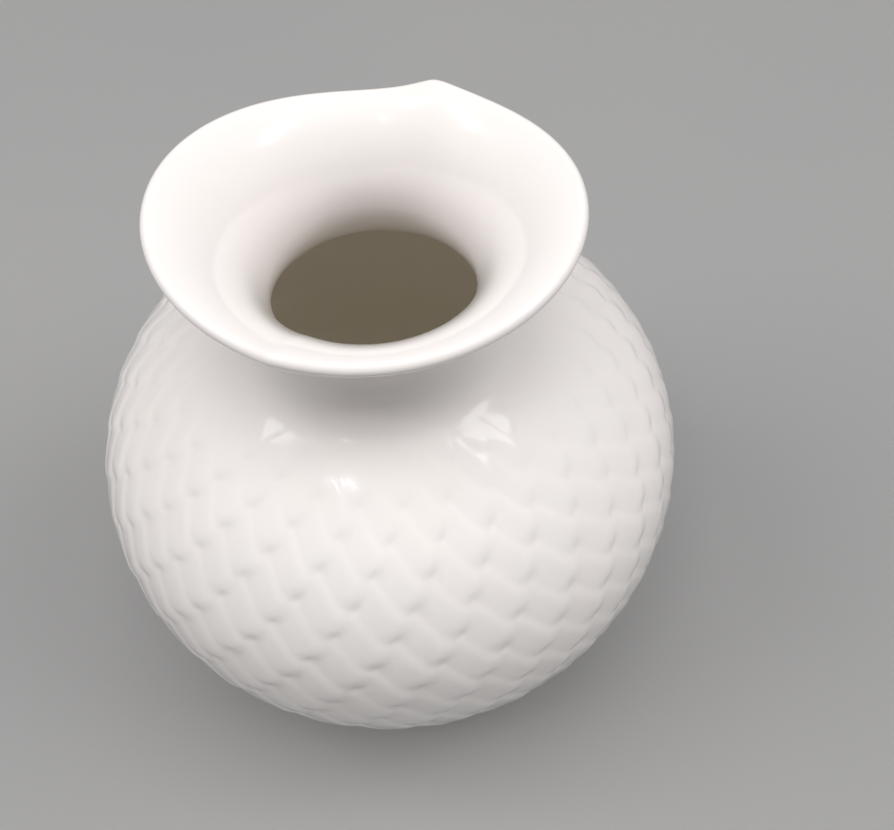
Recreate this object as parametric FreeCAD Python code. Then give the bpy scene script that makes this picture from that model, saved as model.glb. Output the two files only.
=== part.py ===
import FreeCAD, Part
import math
import os

# A small globular porcelain vase: a ball-shaped body on a turned foot, a waisted neck and a wide
# trumpet mouth whose edge waves and rises to two small opposite tips.
# Millimetres, +Z up. The origin is the centre of the foot, on the surface the vase stands on.
# The fired pot is cut where a potter builds it up: foot ring, base, belly, shoulder, neck, mouth.
# The pieces meet face to face, so together they are the whole closed wall of the pot.

V = FreeCAD.Vector
UP = V(0, 0, 1)

# Body
BELLY_RADIUS = 70.0          # greatest outer radius, at the equator
EQUATOR_HEIGHT = 61.5        # the widest line, above the ground
UPPER_HEIGHT = 54.6          # semi-height of the rounded form above the equator
UPPER_ROUNDNESS = 2.15       # 2 is an ellipse, more is squarer
LOWER_HEIGHT = 66.7          # semi-height of the rounded form below the equator
LOWER_ROUNDNESS = 1.92
WALL = 3.2                   # wall thickness, measured square to the surface

# Foot and base
FOOT_HEIGHT = 4.5            # height of the ring, and depth of the recess inside it
FOOT_RING_WIDTH = 5.0        # width of the ring where it stands
FOOT_TAPER = 1.2             # the ring's side leans in by this much towards the ground
FOOT_EDGE = 0.9              # rounding of the ring's two edges on the ground
BASE_RADIUS = 30.0           # the disc that closes the bottom
BASE_THICKNESS = 4.0

# Neck and mouth
SHOULDER_RADIUS = 32.6       # where the shoulder turns up into the neck
THROAT_RADIUS = 24.4         # outer radius at the narrowest line
MOUTH_RADIUS = 37.7          # mean radius of the lip's centre line
MOUTH_RISE = 20.1            # mean height of the lip's centre line above the throat
MOUTH_TURN = math.radians(80)   # how far the wall has turned outwards when it reaches the lip
LIP_THICKNESS = 2.8
MOUTH_OVAL = 2.6             # the lip is this much wider and narrower than its mean
MOUTH_WAVE = 2.0             # the lip is this much higher and lower than its mean
WAVE_AT = math.radians(82)   # bearing of one of the two high, wide sides, from -Y towards +X
TIP_AT = math.radians(158)   # bearing of one of the two tips, the other is opposite
TIP_REACH = 2.1              # how far a tip stands out
TIP_RISE = 2.6               # how far a tip stands up
TIP_LONG_SIDE = math.radians(20)   # how fast a tip fades on the side it comes from
TIP_SHORT_SIDE = math.radians(10)  # and on the side where the lip falls in
TIP_ROUNDING = math.radians(3)

CURVE_STEPS = 8              # spans of each spline in a profile
AROUND = 96                  # control columns round the mouth
LIP_STEPS = 6                # control rows round the lip
FLARE_STEPS = 7              # control rows up each side of the mouth


def at(radius, height):
    """A point of a profile, in the half plane y = 0."""
    return V(radius, 0, height)


def body_point(height_step, semi_height, roundness):
    """Outer point and outward normal of the rounded body; height_step is the angle from the equator."""
    r = math.cos(height_step) ** (2 / roundness)
    z = math.sin(abs(height_step)) ** (2 / roundness)
    normal = at(r ** (roundness - 1) / BELLY_RADIUS, z ** (roundness - 1) / semi_height)
    side = -1 if height_step < 0 else 1
    normal.z *= side
    point = at(BELLY_RADIUS * r, EQUATOR_HEIGHT + side * semi_height * z)
    return point, normal.normalize()


def angle_at_radius(radius, roundness):
    return math.acos((radius / BELLY_RADIUS) ** (roundness / 2))


def angle_at_drop(drop, semi_height, roundness):
    return math.asin((drop / semi_height) ** (roundness / 2))


def wall_curves(start, end, semi_height, roundness):
    """The outer curve and the inner curve, one wall inside it, between two angles."""
    outer = []
    inner = []
    for i in range(CURVE_STEPS + 1):
        point, normal = body_point(start + (end - start) * i / CURVE_STEPS, semi_height, roundness)
        outer.append(point)
        inner.append(point - normal * WALL)
    return spline(outer), spline(inner)


def spline(points):
    curve = Part.BSplineCurve()
    curve.interpolate(points)
    return curve.toShape()


def line(a, b):
    return Part.makeLine(a, b)


def first(edge):
    return edge.Vertexes[0].Point


def last(edge):
    return edge.Vertexes[-1].Point


def turned(edges):
    """The solid that a closed profile makes when it is turned round the axis."""
    wire = Part.Wire(Part.__sortEdges__(edges))
    return Part.Face(wire).revolve(V(0, 0, 0), UP, 360)


def shoulder_seam():
    """Where the shoulder meets the neck: outer point and outward normal."""
    angle = angle_at_radius(SHOULDER_RADIUS, UPPER_ROUNDNESS)
    return body_point(angle, UPPER_HEIGHT, UPPER_ROUNDNESS)


def neck_curve():
    """Centre and outer radius of the neck's hollow curve, smooth with the shoulder, upright at the throat."""
    seam, normal = shoulder_seam()
    radius = (SHOULDER_RADIUS - THROAT_RADIUS) / (1 - normal.x)
    return seam + normal * radius, radius


def throat_height():
    return neck_curve()[0].z


def make_foot_ring():
    """The turned ring the vase stands on, left unglazed where it touches the ground."""
    top_outer = foot_joint_radius()
    low_outer = top_outer - FOOT_TAPER
    low_inner = low_outer - FOOT_RING_WIDTH
    top_inner = low_inner - FOOT_TAPER
    ring = turned([
        line(at(top_inner, FOOT_HEIGHT), at(top_outer, FOOT_HEIGHT)),
        line(at(top_outer, FOOT_HEIGHT), at(low_outer, 0)),
        line(at(low_outer, 0), at(low_inner, 0)),
        line(at(low_inner, 0), at(top_inner, FOOT_HEIGHT)),
    ])
    ground_edges = [e for e in ring.Edges if e.BoundBox.ZMax < 1e-6]
    return ring.makeFillet(FOOT_EDGE, ground_edges).Solids[0]


def foot_joint_radius():
    """Outer radius of the body where it lands on the foot ring."""
    drop = EQUATOR_HEIGHT - FOOT_HEIGHT
    angle = angle_at_drop(drop, LOWER_HEIGHT, LOWER_ROUNDNESS)
    return body_point(-angle, LOWER_HEIGHT, LOWER_ROUNDNESS)[0].x


def make_base():
    """The disc that closes the bottom; its underside is recessed inside the foot ring."""
    return Part.makeCylinder(BASE_RADIUS, BASE_THICKNESS, V(0, 0, FOOT_HEIGHT), UP)


def make_belly():
    """The lower half of the body, from the foot to the equator, thickened round the base."""
    floor = FOOT_HEIGHT + BASE_THICKNESS
    inner_drop = EQUATOR_HEIGHT - floor
    low = -angle_at_drop(EQUATOR_HEIGHT - FOOT_HEIGHT, LOWER_HEIGHT, LOWER_ROUNDNESS)
    outer = wall_curves(low, 0, LOWER_HEIGHT, LOWER_ROUNDNESS)[0]
    inner_low = inner_angle(inner_drop)
    inner = wall_curves(inner_low, 0, LOWER_HEIGHT, LOWER_ROUNDNESS)[1]
    return turned([
        outer,
        inner,
        line(last(outer), last(inner)),
        line(first(inner), at(BASE_RADIUS, floor)),
        line(at(BASE_RADIUS, floor), at(BASE_RADIUS, FOOT_HEIGHT)),
        line(at(BASE_RADIUS, FOOT_HEIGHT), first(outer)),
    ])


def inner_angle(drop):
    """The angle, below the equator, at which the inner surface is this far down, found by halving."""
    low = -math.pi / 2
    high = 0.0
    for _ in range(60):
        middle = (low + high) / 2
        point, normal = body_point(middle, LOWER_HEIGHT, LOWER_ROUNDNESS)
        inside = point - normal * WALL
        if EQUATOR_HEIGHT - inside.z > drop:
            low = middle
        else:
            high = middle
    return high


def make_shoulder():
    """The upper half of the body, from the equator to the foot of the neck."""
    top = angle_at_radius(SHOULDER_RADIUS, UPPER_ROUNDNESS)
    outer, inner = wall_curves(0, top, UPPER_HEIGHT, UPPER_ROUNDNESS)
    return turned([
        outer,
        inner,
        line(first(outer), first(inner)),
        line(last(outer), last(inner)),
    ])


def make_neck():
    """The waisted collar: two hollow arcs about one centre, from the shoulder to the throat."""
    seam, normal = shoulder_seam()
    centre, radius = neck_curve()
    seam_bearing = math.atan2(seam.z - centre.z, seam.x - centre.x)
    middle_bearing = (seam_bearing % (2 * math.pi) + math.pi) / 2
    ends = []
    arcs = []
    for r in (radius, radius + WALL):
        start = centre + at(math.cos(seam_bearing), math.sin(seam_bearing)) * r
        middle = centre + at(math.cos(middle_bearing), math.sin(middle_bearing)) * r
        end = centre - V(r, 0, 0)
        arcs.append(Part.Arc(start, middle, end).toShape())
        ends.append((start, end))
    (outer_low, outer_high), (inner_low, inner_high) = ends
    return turned(arcs + [line(outer_low, inner_low), line(outer_high, inner_high)])


def tips(bearing):
    """1 at each of the two tips of the lip, falling away to nothing beside them."""
    away = math.asin(math.sin(bearing - TIP_AT))
    fade = TIP_SHORT_SIDE if away > 0 else TIP_LONG_SIDE
    return math.exp(-(math.hypot(away, TIP_ROUNDING) - TIP_ROUNDING) / fade)


def lip_edge(bearing):
    """Radius and height of the middle of the lip, in one bearing."""
    wave = math.cos(2 * (bearing - WAVE_AT))
    tip = tips(bearing)
    radius = MOUTH_RADIUS + MOUTH_OVAL * wave + TIP_REACH * tip
    height = throat_height() + MOUTH_RISE + MOUTH_WAVE * wave + TIP_RISE * tip
    return radius, height


def mouth_section(bearing):
    """Points of the mouth's wall in one bearing: up the outside, round the lip, down the inside."""
    lip_radius, lip_height = lip_edge(bearing)
    throat = THROAT_RADIUS - WALL / 2
    reach = lip_radius - throat
    rise = lip_height - throat_height()

    def middle(turn):
        r = throat + reach * (1 - math.cos(turn)) / (1 - math.cos(MOUTH_TURN))
        z = throat_height() + rise * math.sin(turn) / math.sin(MOUTH_TURN)
        slope_r = reach * math.sin(turn) / (1 - math.cos(MOUTH_TURN))
        slope_z = rise * math.cos(turn) / math.sin(MOUTH_TURN)
        length = math.hypot(slope_r, slope_z)
        return r, z, slope_z / length, -slope_r / length

    outside = []
    inside = []
    for i in range(FLARE_STEPS + 1):
        r, z, out_r, out_z = middle(MOUTH_TURN * i / FLARE_STEPS)
        half = (WALL + (LIP_THICKNESS - WALL) * i / FLARE_STEPS) / 2
        outside.append((r + out_r * half, z + out_z * half))
        inside.append((r - out_r * half, z - out_z * half))
    lip = []
    r, z, out_r, out_z = middle(MOUTH_TURN)
    for i in range(1, LIP_STEPS):
        turn = math.pi * i / LIP_STEPS
        along = math.sin(turn) * LIP_THICKNESS / 2
        across = math.cos(turn) * LIP_THICKNESS / 2
        lip.append((r + out_r * across - out_z * along, z + out_z * across + out_r * along))
    return outside + lip + inside[::-1]


def make_mouth():
    """The trumpet mouth with its waving, rounded lip, as one smooth surface closed by a flat ring."""
    sections = [mouth_section(2 * math.pi * j / AROUND) for j in range(AROUND)]
    rows = len(sections[0])
    # A control point this much further out makes the smooth surface pass through the circle.
    correction = 3 / (2 + math.cos(2 * math.pi / AROUND))
    inner_knots = rows - 4
    poles = []
    for j, section in enumerate(sections):
        bearing = 2 * math.pi * j / AROUND
        x = math.sin(bearing) * correction
        y = -math.cos(bearing) * correction
        poles.append([V(r * x, r * y, z) for r, z in section])
    surface = Part.BSplineSurface()
    surface.buildFromPolesMultsKnots(
        poles, [1] * (AROUND + 1), [4] + [1] * inner_knots + [4],
        list(range(AROUND + 1)), list(range(inner_knots + 2)), True, False, 3, 3)
    skin = surface.toShape()
    level = throat_height()
    rings = [e for e in skin.Edges if e.isClosed() and abs(e.BoundBox.ZMax - level) < 0.01]
    rings.sort(key=lambda e: -e.BoundBox.XMax)
    seat = Part.Face([Part.Wire([e]) for e in rings])
    shell = Part.Shell([skin, seat])
    shell.sewShape()
    return Part.makeSolid(shell)


PIECES = {
    "foot_ring": make_foot_ring,
    "base": make_base,
    "belly": make_belly,
    "shoulder": make_shoulder,
    "neck": make_neck,
    "mouth": make_mouth,
}


def main():
    os.makedirs("parts", exist_ok=True)
    for name, make in PIECES.items():
        shape = make()
        if not shape.isValid() or shape.Volume <= 0:
            raise RuntimeError(name + " is not a sound solid")
        shape.exportStep("parts/" + name + ".step")
        box = shape.BoundBox
        print(f"{name:10s} {shape.ShapeType:8s} volume {shape.Volume:9.0f} mm3"
              f"  r {box.XMax:6.2f}  z {box.ZMin:7.2f} to {box.ZMax:7.2f}")


main()
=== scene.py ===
import math

import bpy
import numpy as np
from mathutils import Matrix, Vector


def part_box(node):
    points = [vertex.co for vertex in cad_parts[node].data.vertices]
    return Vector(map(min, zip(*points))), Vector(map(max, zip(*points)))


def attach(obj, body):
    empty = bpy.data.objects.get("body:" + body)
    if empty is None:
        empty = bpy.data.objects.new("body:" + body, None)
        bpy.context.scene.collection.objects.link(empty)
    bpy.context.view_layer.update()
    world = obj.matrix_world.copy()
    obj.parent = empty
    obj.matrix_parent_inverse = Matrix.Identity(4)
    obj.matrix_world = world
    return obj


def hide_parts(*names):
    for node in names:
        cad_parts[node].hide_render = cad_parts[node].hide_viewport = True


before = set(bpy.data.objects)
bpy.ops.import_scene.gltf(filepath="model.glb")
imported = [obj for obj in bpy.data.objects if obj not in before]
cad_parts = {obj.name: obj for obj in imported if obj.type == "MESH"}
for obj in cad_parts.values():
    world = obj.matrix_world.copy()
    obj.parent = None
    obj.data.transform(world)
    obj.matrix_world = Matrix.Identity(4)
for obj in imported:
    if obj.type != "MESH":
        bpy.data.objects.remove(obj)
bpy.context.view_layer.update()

# A white porcelain vase: ball-shaped body carved with overlapping, swirling scales, smooth waisted neck,
# wide trumpet mouth with a waving lip. Metres, +Z up, the vase stands on z = 0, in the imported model's frame.
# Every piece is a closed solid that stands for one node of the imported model. Belly, shoulder, neck and
# mouth meet along shared rows of one grid, so that the glaze runs on across their joints.
# A bearing is an angle about +Z, from -Y towards +X.

MM = 0.001

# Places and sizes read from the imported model
FOOT_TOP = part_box("belly")[0].z
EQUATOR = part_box("belly")[1].z
BELLY_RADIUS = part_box("belly")[1].x
SHOULDER_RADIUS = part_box("neck")[1].x
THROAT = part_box("mouth")[0].z
FOOT_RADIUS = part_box("foot_ring")[1].x
BASE_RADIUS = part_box("base")[1].x
BASE_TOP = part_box("base")[1].z

# Form of the walls
UPPER_HEIGHT = 54.6 * MM             # semi-height of the rounded form above the equator
UPPER_ROUNDNESS = 2.15               # 2 is an ellipse, more is squarer
LOWER_HEIGHT = 66.7 * MM
LOWER_ROUNDNESS = 1.92
WALL = 3.2 * MM
THROAT_RADIUS = 24.4 * MM            # outer radius at the narrowest line
FLOOR_BLEND = 1.2 * MM               # softness of the turn from the inner wall into the floor
INNER_REACH = 1.45                   # radians below the equator, past where the inner wall meets the floor

# Mouth and lip
MOUTH_RADIUS = 37.7 * MM             # mean radius of the lip's middle line
LIP_HEIGHT = 81.3 * MM + EQUATOR     # mean height of the same line
MOUTH_TURN = math.radians(80)        # how far the wall has turned outwards when it reaches the lip
MOUTH_BEND = 1.15                    # 1 for an elliptic flare; more bends it tighter at the throat
LEAST_TURN = 0.001                   # radians; the wall's direction has no length right at the throat
LIP_THICKNESS = 2.8 * MM
MOUTH_OVAL = 2.6 * MM                # the lip is this much wider and narrower than its mean
MOUTH_WAVE = 2.0 * MM                # and this much higher and lower
WAVE_AT = math.radians(82)           # bearing of one of the two high, wide sides
TIP_AT = math.radians(158)           # bearing of one of the two tips; the other is opposite
TIP_REACH = 2.1 * MM
TIP_RISE = 2.6 * MM
TIP_LONG_SIDE = math.radians(20)     # how fast a tip fades on either side
TIP_SHORT_SIDE = math.radians(10)
TIP_ROUNDING = math.radians(3)

# Relief of scales: a slanting lattice that closes after SCALES_AROUND columns and ROWS_LOST rows.
# Each scale starts at a lattice point and hangs down from it, between a straight free edge on its left
# and a rounded lower end. Where scales overlap, the highest one shows.
SCALES_AROUND = 30
ROWS_LOST = 3
ROW_DROP = 0.0968 * BELLY_RADIUS     # along the surface
ROW_SHIFT = -0.0705                  # radians, one row down
FIRST_BEARING = -0.0855              # radians, of one starting point
FIRST_RISE = 0.7923 * BELLY_RADIUS   # of the same point, along the surface above the equator
SCALE_WIDTH = 13.0 * MM              # a column is taken as this wide when a scale's shape is worked out
EDGE_LEAN = math.radians(33.5)       # the straight free edge leans this far from upright
END_RADIUS = 3.85 * MM               # the free edge runs into a rounded lower end
END_AT = 9.9 * MM                    # centre of that rounding, along the edge from the start
END_SOFTENING = 0.35                 # the end falls more gently away from the free edge
END_SOFTENED = END_RADIUS - MM       # over this distance
EDGE_WIDTH = 2.6 * MM                # the surface rolls off over this width to the free edge
EDGE_DEPTH = 0.29 * MM
CROSS_SLOPE = 0.060                  # rise of a scale towards its free edge
LONG_SLOPE = 0.018                   # rise of a scale towards its lower end
GROOVE_SOFTNESS = 0.065 * MM
SHIFT_SPREAD = 0.35 * MM             # each scale is off its lattice point by up to this much
LIFT_SPREAD = 0.05 * MM              # and higher or lower by up to this much
HASH_STEPS = (12.9898, 78.233, 37.719)          # uneven numbers that make scale_hash look random
HASH_STRETCH = 43758.5453
PIT_DEPTH = 0.14 * MM                # small pocket at each starting point, drawn out up and to the right
PIT_LENGTH = 1.6 * MM
PIT_WIDTH = 0.75 * MM
PIT_LEAN = math.radians(35)
RELIEF_TOP = 0.22 * MM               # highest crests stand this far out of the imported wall
CREST_PERCENTILE = 99                # the height that counts as a crest
NARROWING = (0.3, 1.1)               # relief is shallower where columns are narrow, within these limits
UPPER_FADE = (1.08, 0.62)            # belly radii above the equator: none at the first, full at the second
FOOT_FADE = 9.0 * MM                 # none at the foot, full this far up

# Foot ring and base
FOOT_WIDTH = 5.0 * MM                # at the ground
FOOT_LEAN = 1.2 * MM                 # at the top the ring is wider by this much on each side
FOOT_EDGE = 0.9 * MM                 # rounding of the two edges it stands on
FOOT_EDGE_TURN = 75                  # degrees that each rounding turns through
FOOT_EDGE_STEPS = 6
FOOT_INSIDE = ((-1.0, 1.0), (-0.75, 0.72), (-0.4, 0.45))      # parts of lean and height, down the inner side
FOOT_OUTSIDE = ((0.15, 0.42), (0.28, 0.66), (0.6, 0.88))      # and up the outer side to the belly
BASE_STEPS = 14
BASE_COLUMNS = 180
UNDER_RISE = 0.5 * MM                # the recess under the base is this much deeper in the middle
SHARP_FROM = math.radians(40)        # edges of the base that turn by more than this stay sharp

# Grid
COLUMNS_PER_SCALE = 23
COLUMNS = SCALES_AROUND * COLUMNS_PER_SCALE
ROW_STEP = 0.68 * MM
SMOOTH_STEP = 1.1 * MM
INNER_STEP = 4.0 * MM
FLARE_ROWS = 36                      # from throat to lip, on each side of the wall
LIP_ROWS = 12
FINE_POINTS = 1500                   # points of a body line before it is resampled
NECK_POINTS = 200
BEARINGS = np.arange(COLUMNS) * 2 * math.pi / COLUMNS

# Colours and finish
BLACK = (0, 0, 0, 1)
WHITE = (1, 1, 1, 1)
GLAZE_WARM = (0.94, 0.895, 0.88, 1)
GLAZE_COOL = (0.925, 0.895, 0.885, 1)
# Painted shade: colour laid into the bottom of the carved grooves
GROOVE_SHADE = (0.84, 0.80, 0.78, 1)
# Warmer, olive tint of the glaze within the hollow: painted shade colour
INSIDE_SHADE_TINT = (0.935, 0.905, 0.83, 1)
PINHOLE = (0.05, 0.04, 0.035, 1)
BISCUIT_LIGHT = (0.74, 0.70, 0.64, 1)
BISCUIT_DARK = (0.60, 0.56, 0.50, 1)
FLOOR_DARK = (0.335, 0.335, 0.34, 1)
FLOOR_LIGHT = (0.355, 0.355, 0.355, 1)
PORCELAIN_IOR = 1.5
GROOVE_SHADE_PER_METRE = 900                        # per metre of depth, before the ramp of the painted groove shade
PINHOLE_CELLS = 160                  # per metre
PINHOLE_RADIUS = 0.055               # of a cell
PINHOLE_CORE = 0.6                   # of the radius is fully dark
PINHOLE_SHARE = 0.9                  # of cells that hold one
COAT_WEIGHT = 0.6
COAT_ROUGHNESS = 0.045
SOFT_WAVES = 0.05 * MM               # depth of the glaze's slow waves
FINE_WAVES = 0.004 * MM              # and of its fine ones
GLAZE_LINE = 1.3 * MM                # the glaze on the foot stops at most this far above the ground
GLAZE_LINE_WAVER = 0.8 * MM          # and up to this much lower
GLAZE_LINE_SHARPNESS = 4000          # per metre
BISCUIT_GRAIN = 0.03 * MM            # depth of the unglazed grain

# Light: name, azimuth, elevation, distance, size, watts, colour. Azimuth 0 is the viewer's side and 90 is
# to the viewer's right. The large ones only light the vase; the small ones are mirrored in its glaze too.
SOFT_COLOR = (1.0, 0.985, 0.97)
WINDOW_COLOR = (0.97, 0.98, 1.0)
LAMP_COLOR = (1.0, 0.99, 0.97)
LARGE_LIGHTS = (
    ("overhead", 0, 86, 2.2, (1.6, 1.6), 26.0, SOFT_COLOR),
    ("right", 88, 44, 2.2, (1.5, 1.5), 20.0, SOFT_COLOR),
    ("left", -88, 44, 2.2, (1.5, 1.5), 18.8, SOFT_COLOR),
)
MIRRORED_LIGHTS = (
    ("left_window", -95, 62, 0.9, (0.16, 0.26), 0.36, WINDOW_COLOR),
    ("right_window", 84, 62, 0.9, (0.14, 0.26), 0.36, WINDOW_COLOR),
    ("lamp", -37, 65, 0.8, (0.018, 0.008), 0.07, LAMP_COLOR),
)
WORLD_COLOR = (0.96, 0.95, 0.94, 1)
WORLD_STRENGTH = 0.15
FLOOR_HALF = 4.0
DIFFUSE_BOUNCES = 12                 # light reaches the hollow only after many bounces

# Camera: distances are in belly radii, from the middle of the equator
CAMERA_ELEVATION = math.radians(56.0)
CAMERA_ROLL = math.radians(2.195)
CAMERA_DISTANCE = 3.5015
CAMERA_AIM = (0.2002, 0.1751)        # across and up
LENS = 40.27                         # millimetres, as is the sensor's width
SENSOR_WIDTH = 36
CLIP_START = 0.01


def resample(points, step):
    """The same line with evenly spaced points about step apart."""
    lengths = path_lengths(points)
    rows = max(2, round(lengths[-1] / step)) + 1
    at = np.linspace(0, lengths[-1], rows)
    return np.stack([np.interp(at, lengths, points[:, k]) for k in (0, 1)], -1)


def path_lengths(points):
    """Distance of each point from the first, along the line."""
    return np.concatenate([[0], np.cumsum(np.hypot(*np.diff(points, axis=0).T))])


def body_point(angle, semi_height, roundness):
    """Outer (radius, height) and outward normal; angle runs from the equator."""
    r = np.cos(angle) ** (2 / roundness)
    z = np.abs(np.sin(angle)) ** (2 / roundness)
    normal = np.stack([r ** (roundness - 1) / BELLY_RADIUS,
                       z ** (roundness - 1) / semi_height], -1)
    normal /= np.linalg.norm(normal, axis=-1, keepdims=True)
    points = np.stack([BELLY_RADIUS * r, EQUATOR + semi_height * z], -1)
    return points, normal


def seam_angle():
    """Angle above the equator where the shoulder ends and the neck begins."""
    return math.acos((SHOULDER_RADIUS / BELLY_RADIUS) ** (UPPER_ROUNDNESS / 2))


def foot_angle():
    """Angle below the equator where the belly ends at the foot ring."""
    return math.asin(((EQUATOR - FOOT_TOP) / LOWER_HEIGHT) ** (LOWER_ROUNDNESS / 2))


def body_lines():
    """Outer and inner lines of belly and shoulder, each starting at the equator."""
    fine = np.linspace(0, 1, FINE_POINTS)
    down, _ = body_point(fine * foot_angle(), -LOWER_HEIGHT, LOWER_ROUNDNESS)
    up, up_normal = body_point(fine * seam_angle(), UPPER_HEIGHT, UPPER_ROUNDNESS)
    far, far_normal = body_point(fine * INNER_REACH, -LOWER_HEIGHT, LOWER_ROUNDNESS)
    inside_down = far - far_normal * WALL
    rise = inside_down[:, 1] - BASE_TOP
    inside_down[:, 1] = BASE_TOP + FLOOR_BLEND * np.logaddexp(0, rise / FLOOR_BLEND)
    inside_down = inside_down[inside_down[:, 0] >= BASE_RADIUS]
    inside_down[-1, 0] = BASE_RADIUS
    return down, up, inside_down, up - up_normal * WALL


def neck_lines():
    """Outer and inner hollow arcs about one centre, from the shoulder up to the throat."""
    seam, normal = body_point(np.array(seam_angle()), UPPER_HEIGHT, UPPER_ROUNDNESS)
    radius = (SHOULDER_RADIUS - THROAT_RADIUS) / (1 - normal[0])
    centre = seam + normal * radius
    start = math.atan2(-normal[1], -normal[0])
    turn = np.linspace(start % (2 * math.pi), math.pi, NECK_POINTS)
    ray = np.stack([np.cos(turn), np.sin(turn)], -1)
    return centre + ray * radius, centre + ray * (radius + WALL)


def tips(bearing):
    """1 at each of the two tips of the lip, falling away beside them."""
    away = np.arcsin(np.sin(bearing - TIP_AT))
    fade = np.where(away > 0, TIP_SHORT_SIDE, TIP_LONG_SIDE)
    return np.exp(-(np.hypot(away, TIP_ROUNDING) - TIP_ROUNDING) / fade)


def mouth_rows(bearing):
    """Rows of (radius, height) over all bearings: up the outside, round the lip, down the inside."""
    wave = np.cos(2 * (bearing - WAVE_AT))
    tip = tips(bearing)
    throat = THROAT_RADIUS - WALL / 2
    reach = MOUTH_RADIUS + MOUTH_OVAL * wave + TIP_REACH * tip - throat
    rise = LIP_HEIGHT + MOUTH_WAVE * wave + TIP_RISE * tip - THROAT
    across = reach / (1 - math.cos(MOUTH_TURN) ** MOUTH_BEND)
    upright = rise / math.sin(MOUTH_TURN) ** MOUTH_BEND

    def middle(turn):
        """Middle of the wall, and the direction square to it on the outer side."""
        r = throat + across * (1 - math.cos(turn) ** MOUTH_BEND)
        z = THROAT + upright * math.sin(turn) ** MOUTH_BEND
        slant = max(turn, LEAST_TURN)
        along_r = across * math.sin(slant) * math.cos(slant) ** (MOUTH_BEND - 1)
        along_z = upright * math.cos(slant) * math.sin(slant) ** (MOUTH_BEND - 1)
        length = np.hypot(along_r, along_z)
        return np.stack([r, z], -1), np.stack([along_z, -along_r], -1) / length[:, None]

    outside = []
    inside = []
    for i in range(FLARE_ROWS + 1):
        part = i / FLARE_ROWS
        centre, out = middle(MOUTH_TURN * part)
        half = (WALL + (LIP_THICKNESS - WALL) * part) / 2
        outside.append(centre + out * half)
        inside.append(centre - out * half)
    ahead = np.stack([-out[:, 1], out[:, 0]], -1)
    lip = []
    for i in range(1, LIP_ROWS):
        turn = math.pi * i / LIP_ROWS
        lip.append(centre + (out * math.cos(turn) + ahead * math.sin(turn)) * LIP_THICKNESS / 2)
    return outside, lip, inside[::-1]


def scale_hash(a, b, salt):
    """A repeatable number from -1 to 1 for each scale."""
    mixed = np.sin(a * HASH_STEPS[0] + b * HASH_STEPS[1] + salt * HASH_STEPS[2])
    return 2 * np.modf(np.abs(mixed * HASH_STRETCH))[0] - 1


def turned(x, y, lean):
    """Distances across and along a direction that leans this far from straight down."""
    return x * math.cos(lean) - y * math.sin(lean), x * math.sin(lean) + y * math.cos(lean)


def scale_height(x, y):
    """Height of one endless scale, x to the right of and y below its start."""
    from_edge, down_edge = turned(x, y, EDGE_LEAN)
    edge = -from_edge
    past = np.maximum(down_edge - END_AT, 0)
    inside = END_RADIUS - np.hypot(np.maximum(END_RADIUS - edge, 0), past)
    width = EDGE_WIDTH + END_SOFTENING * np.clip(edge - END_RADIUS, 0, END_SOFTENED)
    short = np.maximum(width - inside, 0) / width
    fall = np.where(short < 1, short ** 2, 2 * short - 1) * EDGE_DEPTH
    across, along = turned(x, y, EDGE_LEAN / 2)
    return across * CROSS_SLOPE + along * LONG_SLOPE - fall


def relief(bearing, rise, radius):
    """Height of the carved surface at a bearing and a rise along the wall from the equator.

    Also gives how wide a column is there, as a share of SCALE_WIDTH."""
    column_turn = (2 * math.pi + ROWS_LOST * ROW_SHIFT) / SCALES_AROUND
    column_drop = ROWS_LOST * ROW_DROP / SCALES_AROUND
    turn = bearing - FIRST_BEARING
    drop = FIRST_RISE - rise
    lattice = np.linalg.inv(np.array([[column_turn, ROW_SHIFT], [column_drop, ROW_DROP]]))
    i = lattice[0, 0] * turn + lattice[0, 1] * drop
    k = lattice[1, 0] * turn + lattice[1, 1] * drop
    total = np.zeros_like(i)
    pits = np.zeros_like(i)
    # The rows and columns whose scales can reach a point, counted from its own cell of the lattice
    for back in range(-1, 4):
        for side in range(-2, 3):
            ck = np.floor(k) - back
            ci = np.floor(i) - side
            dx = ((i - ci) * column_turn + (k - ck) * ROW_SHIFT) / column_turn * SCALE_WIDTH
            dy = (i - ci) * column_drop + (k - ck) * ROW_DROP
            wrap = np.floor(ci / SCALES_AROUND)
            own_i = ci - wrap * SCALES_AROUND
            own_k = ck + wrap * ROWS_LOST
            dx = dx + SHIFT_SPREAD * scale_hash(own_i, own_k, 1)
            dy = dy + SHIFT_SPREAD * scale_hash(own_i, own_k, 2)
            lift = LIFT_SPREAD * scale_hash(own_i, own_k, 3)
            total += np.exp((scale_height(dx, dy) + lift) / GROOVE_SOFTNESS)
            long, wide = turned(dx, dy, PIT_LEAN)
            pits += np.exp(-(long / PIT_LENGTH) ** 2 - (wide / PIT_WIDTH) ** 2)
    height = GROOVE_SOFTNESS * np.log(total) - PIT_DEPTH * pits
    return height, radius * column_turn / SCALE_WIDTH


def smoothstep(low, high, x):
    t = np.clip((x - low) / (high - low), 0, 1)
    return t * t * (3 - 2 * t)


def turned_rows(line):
    """Rows of (radius, height) over all bearings, from one plain line."""
    return [np.repeat(point[None], COLUMNS, 0) for point in line]


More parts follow.
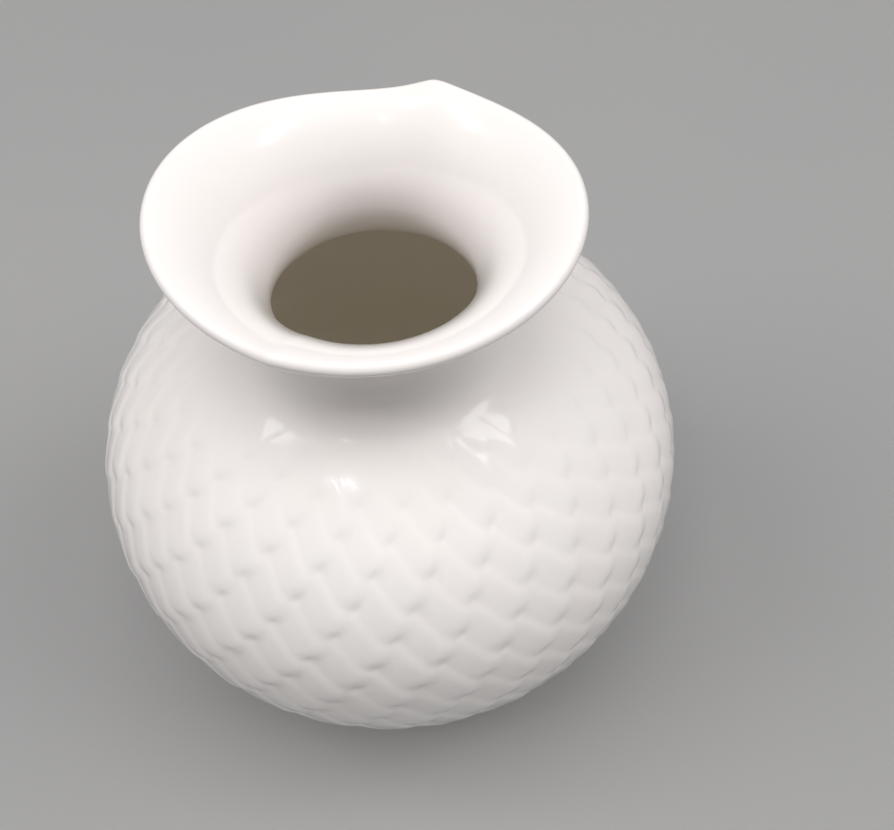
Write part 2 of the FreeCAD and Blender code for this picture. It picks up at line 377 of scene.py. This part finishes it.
def carve(line, rises):
    """Rows of the outer wall with the scales on it, and how deep each point lies."""
    slope = np.gradient(line, axis=0)
    normal = np.stack([slope[:, 1], -slope[:, 0]], -1)
    normal /= np.linalg.norm(normal, axis=1, keepdims=True)
    bearing, rise = np.meshgrid(BEARINGS, rises)
    radius = np.repeat(line[:, :1], COLUMNS, 1)
    height, narrowing = relief(bearing, rise, radius)
    crest = np.percentile(height, CREST_PERCENTILE)
    depth = (crest - height) * np.clip(narrowing, *NARROWING)
    fade = smoothstep(*UPPER_FADE, rise / BELLY_RADIUS) * smoothstep(rises[0], rises[0] + FOOT_FADE, rise)
    out = (RELIEF_TOP - depth) * fade
    rows = line[:, None, :] + normal[:, None, :] * out[:, :, None]
    return list(rows), depth * fade


def round_axis(radius, height):
    """Points of a closed-round grid, from radii and heights with one column for each bearing."""
    return np.stack([radius * np.sin(BEARINGS), -radius * np.cos(BEARINGS), height], -1)


def surface_normals(rows):
    """Points and unit normals of a closed-round grid of rows of (radius, height)."""
    grid = np.array(rows)
    points = round_axis(grid[:, :, 0], grid[:, :, 1])
    along = np.gradient(points, axis=0)
    around = np.roll(points, -1, 1) - np.roll(points, 1, 1)
    normals = np.cross(around, along)
    normals /= np.linalg.norm(normals, axis=2, keepdims=True)
    return points, normals


def joint_band(start_row, end_row):
    """The hidden face where a piece meets its neighbour."""
    along = end_row - start_row
    around = np.roll(start_row, -1, 0) - np.roll(start_row, 1, 0)
    normal = np.cross(around, along)
    normal /= np.linalg.norm(normal, axis=1, keepdims=True)
    return np.stack([start_row, end_row]), np.stack([normal, normal]), np.zeros(2)


def add_object(name, data):
    added = bpy.data.objects.new(name, data)
    bpy.context.scene.collection.objects.link(added)
    return added


def add_values(mesh, name, values):
    attribute = mesh.attributes.new(name, "FLOAT", "POINT")
    attribute.data.foreach_set("value", values.astype(np.float32))


def closed_solid(name, sheets, depths=None):
    """A ring-shaped solid whose skin is these grids, end to end. Each sheet is (points, normals, inside).

    Neighbouring sheets share a row, and the last sheet ends where the first begins. Inside is 1 in each row
    that is within the vase and 0 outside; a shared row takes the larger of its two values. Depths are how
    deep each point of the first sheet lies."""
    points = np.concatenate([sheet[0][:-1] for sheet in sheets])
    tints = [sheet[2].copy() for sheet in sheets]
    for before, tint in zip([tints[-1]] + tints, tints):
        tint[0] = max(tint[0], before[-1])
    inside = np.concatenate([tint[:-1] for tint in tints])
    rows, columns = points.shape[:2]
    quads = []
    normals = []
    start = 0
    for sheet_points, sheet_normals, _ in sheets:
        row = np.arange(len(sheet_points) - 1)[:, None]
        column = np.arange(columns)[None, :]
        following = (column + 1) % columns
        low = (start + row) % rows
        high = (start + row + 1) % rows
        quad = np.stack([low * columns + column, low * columns + following,
                         high * columns + following, high * columns + column], -1)
        quads.append(quad.reshape(-1, 4))
        corner = np.stack([sheet_normals[row, column], sheet_normals[row, following],
                           sheet_normals[row + 1, following], sheet_normals[row + 1, column]], 2)
        normals.append(corner.reshape(-1, 3))
        start += len(sheet_points) - 1
    faces = np.concatenate(quads)
    mesh = bpy.data.meshes.new(name)
    mesh.vertices.add(rows * columns)
    mesh.vertices.foreach_set("co", points.ravel())
    mesh.loops.add(faces.size)
    mesh.loops.foreach_set("vertex_index", faces.ravel().astype(np.int32))
    mesh.polygons.add(len(faces))
    mesh.polygons.foreach_set("loop_start", np.arange(0, faces.size, 4, dtype=np.int32))
    mesh.polygons.foreach_set("use_smooth", np.ones(len(faces), bool))
    mesh.update(calc_edges=True)
    mesh.validate()
    mesh.normals_split_custom_set(np.concatenate(normals))
    depth = np.zeros(rows * columns)
    if depths is not None:
        depth[:depths.size] = depths.ravel()
    add_values(mesh, "depth", depth)
    add_values(mesh, "inside", np.repeat(inside, columns))
    return add_object(name, mesh)


def build_walls():
    """The pot's whole skin, up the outside, over the lip and down the inside to the base.

    Gives its points, normals, the depth of the carved rows and the number of each row where pieces meet."""
    down, up, inside_down, inside_up = body_lines()
    neck_out, neck_in = neck_lines()
    belly_out = resample(down, ROW_STEP)[::-1]
    shoulder_out = resample(up, ROW_STEP)
    neck_out = resample(neck_out, SMOOTH_STEP)
    outer = np.concatenate([belly_out, shoulder_out[1:], neck_out[1:]])
    lengths = path_lengths(outer)
    at = {"equator": len(belly_out) - 1}
    at["seam"] = at["equator"] + len(shoulder_out) - 1
    at["throat"] = at["seam"] + len(neck_out) - 1
    rows, depth = carve(outer, lengths - lengths[at["equator"]])

    outside, lip, inside = mouth_rows(BEARINGS)
    rows += outside[1:] + lip + inside
    at["inner_throat"] = len(rows) - 1
    rows += turned_rows(resample(neck_in, SMOOTH_STEP)[::-1])[1:]
    at["inner_seam"] = len(rows) - 1
    rows += turned_rows(resample(inside_up, INNER_STEP)[::-1])[1:]
    at["inner_equator"] = len(rows) - 1
    rows += turned_rows(resample(inside_down, INNER_STEP))[1:]
    at["floor"] = len(rows) - 1
    points, normals = surface_normals(rows)
    return points, normals, depth, at


def build_pot():
    """Belly, shoulder, neck and mouth, and the height of the floor's edge, where the base carries on."""
    points, normals, depth, at = build_walls()

    def sheet(first, last, tint_from=0, tint_to=0):
        tint = np.linspace(tint_from, tint_to, last + 1 - first)
        return points[first:last + 1], normals[first:last + 1], tint

    floor_edge = points[at["floor"]]
    under_edge = floor_edge.copy()
    under_edge[:, 2] = FOOT_TOP
    belly = closed_solid("belly", [
        sheet(0, at["equator"]),
        joint_band(points[at["equator"]], points[at["inner_equator"]]),
        sheet(at["inner_equator"], at["floor"], 1, 1),
        joint_band(floor_edge, under_edge),
        joint_band(under_edge, points[0]),
    ], depth[:at["equator"] + 1])
    shoulder = closed_solid("shoulder", [
        sheet(at["equator"], at["seam"]),
        joint_band(points[at["seam"]], points[at["inner_seam"]]),
        sheet(at["inner_seam"], at["inner_equator"], 1, 1),
        joint_band(points[at["inner_equator"]], points[at["equator"]]),
    ], depth[at["equator"]:at["seam"] + 1])
    neck = closed_solid("neck", [
        sheet(at["seam"], at["throat"]),
        joint_band(points[at["throat"]], points[at["inner_throat"]]),
        sheet(at["inner_throat"], at["inner_seam"], 0, 1),
        joint_band(points[at["inner_seam"]], points[at["seam"]]),
    ], depth[at["seam"]:at["throat"] + 1])
    mouth = closed_solid("mouth", [
        sheet(at["throat"], at["inner_throat"]),
        joint_band(points[at["inner_throat"]], points[at["throat"]]),
    ])
    return {"belly": belly, "shoulder": shoulder, "neck": neck, "mouth": mouth}, floor_edge[0, 2]


def lathe(name, line, columns):
    """A closed solid turned from a line of (radius, height) that starts and ends on the axis."""
    bearings = np.arange(columns) * 2 * math.pi / columns
    ring = np.array(line[1:-1])
    x = ring[:, :1] * np.sin(bearings)
    y = -ring[:, :1] * np.cos(bearings)
    z = np.repeat(ring[:, 1:], columns, 1)
    points = [tuple(p) for p in np.stack([x, y, z], -1).reshape(-1, 3)]
    first = len(points)
    points += [(0, 0, line[0][1]), (0, 0, line[-1][1])]
    faces = []
    top = (len(ring) - 1) * columns
    for c in range(columns):
        d = (c + 1) % columns
        faces.append((first, d, c))
        faces.append((first + 1, top + c, top + d))
        for low in range(0, top, columns):
            high = low + columns
            faces.append((low + c, low + d, high + d, high + c))
    mesh = bpy.data.meshes.new(name)
    mesh.from_pydata(points, [], faces)
    mesh.shade_smooth()
    mesh.set_sharp_from_angle(angle=SHARP_FROM)
    return add_object(name, mesh)


def build_base(edge_height):
    """The disc that closes the bottom: a faintly dished floor inside, a recess with a soft rise below."""
    parts = [i / BASE_STEPS for i in range(BASE_STEPS + 1)]
    under = [(BASE_RADIUS * part, FOOT_TOP + UNDER_RISE * (1 - part ** 2)) for part in parts]
    dish = edge_height - BASE_TOP
    above = [(BASE_RADIUS * part, BASE_TOP + dish * part ** 3) for part in reversed(parts)]
    return lathe("base", under + above, BASE_COLUMNS)


def arc(centre, radius, start, end, steps):
    """Points of an arc between two angles in degrees."""
    angles = [math.radians(start + (end - start) * i / steps) for i in range(steps + 1)]
    return [(centre[0] + radius * math.cos(a), centre[1] + radius * math.sin(a)) for a in angles]


def build_foot():
    """The turned foot ring: rounded where it stands, a small hollow under the belly."""
    outer = FOOT_RADIUS - FOOT_LEAN
    inner = outer - FOOT_WIDTH
    bottom = 270
    line = [(inner + FOOT_LEAN * lean, FOOT_TOP * height) for lean, height in FOOT_INSIDE]
    line += arc((inner + FOOT_EDGE, FOOT_EDGE), FOOT_EDGE, bottom - FOOT_EDGE_TURN, bottom, FOOT_EDGE_STEPS)
    line += arc((outer - FOOT_EDGE, FOOT_EDGE), FOOT_EDGE, bottom, bottom + FOOT_EDGE_TURN, FOOT_EDGE_STEPS)
    line += [(outer + FOOT_LEAN * lean, FOOT_TOP * height) for lean, height in FOOT_OUTSIDE]
    line.append((FOOT_RADIUS, FOOT_TOP))
    points, normals = surface_normals(turned_rows(np.array(line)))
    skin = (points, normals, np.zeros(len(points)))
    return closed_solid("foot_ring", [skin, joint_band(points[-1], points[0])])


COLOR_A, COLOR_B, COLOR_OUT = 6, 7, 2    # a mix node has sockets of the same name for each data type


def gray(level):
    return (level, level, level, 1)


class Nodes:
    """A short way to build one material's node tree."""

    def __init__(self, name):
        self.material = bpy.data.materials.new(name)
        self.material.use_nodes = True
        self.tree = self.material.node_tree
        self.tree.nodes.clear()
        output = self.tree.nodes.new("ShaderNodeOutputMaterial")
        self.shader = self.tree.nodes.new("ShaderNodeBsdfPrincipled")
        self.link(self.shader.outputs["BSDF"], output.inputs["Surface"])
        self.place = self.tree.nodes.new("ShaderNodeTexCoord").outputs["Object"]

    def link(self, source, target):
        self.tree.links.new(source, target)

    def feed(self, socket, value):
        """Puts a constant on a socket, or links an output to it."""
        if isinstance(value, bpy.types.NodeSocket):
            self.link(value, socket)
        else:
            socket.default_value = value

    def surface(self, **values):
        """Feeds the shader's own sockets by name."""
        for name, value in values.items():
            self.feed(self.shader.inputs[name.replace("_", " ")], value)

    def noise(self, scale, detail):
        node = self.tree.nodes.new("ShaderNodeTexNoise")
        node.inputs["Scale"].default_value = scale
        node.inputs["Detail"].default_value = detail
        self.link(self.place, node.inputs["Vector"])
        return node.outputs["Fac"]

    def patches(self, scale, detail, low, high, dark=BLACK, light=WHITE):
        """Noise that goes from the dark colour to the light one between two of its levels."""
        return self.ramp(self.noise(scale, detail), (low, dark), (high, light))

    def specks(self, scale, radius, share):
        """1 in small round specks, in a share of cells of this scale."""
        node = self.tree.nodes.new("ShaderNodeTexVoronoi")
        node.inputs["Scale"].default_value = scale
        self.link(self.place, node.inputs["Vector"])
        near = self.ramp(node.outputs["Distance"], (radius * PINHOLE_CORE, WHITE), (radius, BLACK))
        split = self.tree.nodes.new("ShaderNodeSeparateColor")
        self.link(node.outputs["Color"], split.inputs["Color"])
        few = self.math("LESS_THAN", split.outputs["Red"], share)
        return self.math("MULTIPLY", near, few)

    def attribute(self, name):
        node = self.tree.nodes.new("ShaderNodeAttribute")
        node.attribute_name = name
        return node.outputs["Fac"]

    def height(self):
        node = self.tree.nodes.new("ShaderNodeSeparateXYZ")
        self.link(self.place, node.inputs["Vector"])
        return node.outputs["Z"]

    def math(self, operation, a, b):
        node = self.tree.nodes.new("ShaderNodeMath")
        node.operation = operation
        self.feed(node.inputs[0], a)
        self.feed(node.inputs[1], b)
        return node.outputs["Value"]

    def ramp(self, factor, *stops):
        node = self.tree.nodes.new("ShaderNodeValToRGB")
        for element, (position, color) in zip(node.color_ramp.elements, stops):
            element.position = position
            element.color = color
        self.link(factor, node.inputs["Fac"])
        return node.outputs["Color"]

    def mix(self, factor, a, b):
        """Colour a where the factor is 0, and b where it is 1."""
        node = self.tree.nodes.new("ShaderNodeMix")
        node.data_type = "RGBA"
        self.link(factor, node.inputs["Factor"])
        self.feed(node.inputs[COLOR_A], a)
        self.feed(node.inputs[COLOR_B], b)
        return node.outputs[COLOR_OUT]

    def bump(self, height, distance, onto=None):
        node = self.tree.nodes.new("ShaderNodeBump")
        node.inputs["Distance"].default_value = distance
        self.link(height, node.inputs["Height"])
        if onto is not None:
            self.link(onto, node.inputs["Normal"])
        return node.outputs["Normal"]


def glaze_material():
    """Clear gloss glaze over white porcelain, with painted shade darkening the grooves and a warmer painted
    shade tint within the hollow.
    """
    n = Nodes("glaze")
    body = n.mix(n.patches(scale=22, detail=3, low=0.35, high=0.65), GLAZE_WARM, GLAZE_COOL)
    # Painted shade: the colour darkens towards the bottom of the carved grooves, by their depth
    groove_shade = n.ramp(n.math("MULTIPLY", n.attribute("depth"), GROOVE_SHADE_PER_METRE), (0.25, BLACK), (0.9, WHITE))
    color = n.mix(groove_shade, body, GROOVE_SHADE)
    # Painted shade colour: within the vase the glaze takes a warmer, olive tint
    color = n.mix(n.attribute("inside"), color, INSIDE_SHADE_TINT)
    specks = n.specks(PINHOLE_CELLS, PINHOLE_RADIUS, PINHOLE_SHARE)
    pinholes = n.math("MULTIPLY", specks, n.attribute("inside"))
    waves = n.bump(n.noise(scale=140, detail=1), SOFT_WAVES)
    n.surface(
        Base_Color=n.mix(pinholes, color, PINHOLE),
        Roughness=n.patches(scale=60, detail=4, low=0.3, high=0.7, dark=gray(0.16), light=gray(0.24)),
        Normal=n.bump(n.noise(scale=900, detail=2), FINE_WAVES, onto=waves),
        IOR=PORCELAIN_IOR,
        Coat_Weight=COAT_WEIGHT,
        Coat_Roughness=COAT_ROUGHNESS,
        Coat_IOR=PORCELAIN_IOR,
    )
    return n.material


def foot_material():
    """Glaze that stops in a wavering line near the ground, bare ground biscuit below it."""
    n = Nodes("foot")
    waver = n.math("MULTIPLY", n.noise(scale=90, detail=2), GLAZE_LINE_WAVER)
    above = n.math("SUBTRACT", n.math("ADD", waver, n.height()), GLAZE_LINE)
    glazed = n.ramp(n.math("MULTIPLY", above, GLAZE_LINE_SHARPNESS), (0.0, BLACK), (1.0, WHITE))
    grain = n.patches(scale=1600, detail=3, low=0.35, high=0.6, dark=BISCUIT_DARK, light=BISCUIT_LIGHT)
    stains = n.patches(scale=35, detail=3, low=0.45, high=0.75, light=gray(0.5))
    biscuit = n.mix(stains, grain, BISCUIT_DARK)
    n.surface(
        Base_Color=n.mix(glazed, biscuit, GLAZE_WARM),
        Roughness=n.ramp(glazed, (0.0, gray(0.75)), (1.0, gray(0.18))),
        Normal=n.bump(n.noise(scale=1400, detail=3), BISCUIT_GRAIN),
        IOR=PORCELAIN_IOR,
    )
    return n.material


def floor_material():
    n = Nodes("studio_floor")
    tone = n.patches(scale=3, detail=2, low=0.3, high=0.7, dark=FLOOR_DARK, light=FLOOR_LIGHT)
    n.surface(Base_Color=tone, Roughness=0.7)
    return n.material


def add_floor():
    half = FLOOR_HALF
    corners = [(-half, -half, 0), (half, -half, 0), (half, half, 0), (-half, half, 0)]
    mesh = bpy.data.meshes.new("floor")
    mesh.from_pydata(corners, [], [(0, 1, 2, 3)])
    mesh.materials.append(floor_material())
    floor = add_object("floor", mesh)


def softbox(name, azimuth, elevation, distance, size, watts, color):
    """An area light aimed at the middle of the vase's widest line."""
    a = math.radians(azimuth)
    e = math.radians(elevation)
    away = Vector((math.sin(a) * math.cos(e), -math.cos(a) * math.cos(e), math.sin(e)))
    light = bpy.data.lights.new(name, "AREA")
    light.shape = "RECTANGLE"
    light.size, light.size_y = size
    light.energy = watts
    light.color = color
    lamp = add_object(name, light)
    lamp.location = Vector((0, 0, EQUATOR)) + away * distance
    lamp.rotation_euler = away.to_track_quat("Z", "Y").to_euler()
    return lamp


def add_lights():
    for row in LARGE_LIGHTS:
        softbox(*row).visible_glossy = False
    for row in MIRRORED_LIGHTS:
        softbox(*row)
    world = bpy.data.worlds.new("studio")
    world.use_nodes = True
    background = world.node_tree.nodes["Background"]
    background.inputs["Color"].default_value = WORLD_COLOR
    background.inputs["Strength"].default_value = WORLD_STRENGTH
    bpy.context.scene.world = world


def add_camera():
    back = Vector((0, -math.cos(CAMERA_ELEVATION), math.sin(CAMERA_ELEVATION)))
    right = Vector((1, 0, 0))
    up = back.cross(right)
    across = right * math.cos(CAMERA_ROLL) - up * math.sin(CAMERA_ROLL)
    above = right * math.sin(CAMERA_ROLL) + up * math.cos(CAMERA_ROLL)
    place = Vector((CAMERA_AIM[0], 0, CAMERA_AIM[1])) + back * CAMERA_DISTANCE
    turn = Matrix((across, above, back)).transposed().to_4x4()
    data = bpy.data.cameras.new("camera")
    data.lens = LENS
    data.sensor_width = SENSOR_WIDTH
    data.clip_start = CLIP_START
    camera = add_object("camera", data)
    camera.matrix_world = Matrix.Translation(place * BELLY_RADIUS + Vector((0, 0, EQUATOR))) @ turn
    bpy.context.scene.camera = camera


def main():
    pieces, edge_height = build_pot()
    pieces["base"] = build_base(edge_height)
    pieces["foot_ring"] = build_foot()
    glaze = glaze_material()
    foot = foot_material()
    for name, piece in pieces.items():
        on_foot = name == "foot_ring"
        piece.name = name + "_porcelain"
        piece.data.materials.append(foot if on_foot else glaze)
        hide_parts(name)
        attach(piece, "root")
    add_floor()
    add_lights()
    add_camera()
    scene = bpy.context.scene
    scene.cycles.diffuse_bounces = DIFFUSE_BOUNCES
    scene.view_settings.view_transform = "Standard"
    scene.view_settings.look = "None"


main()
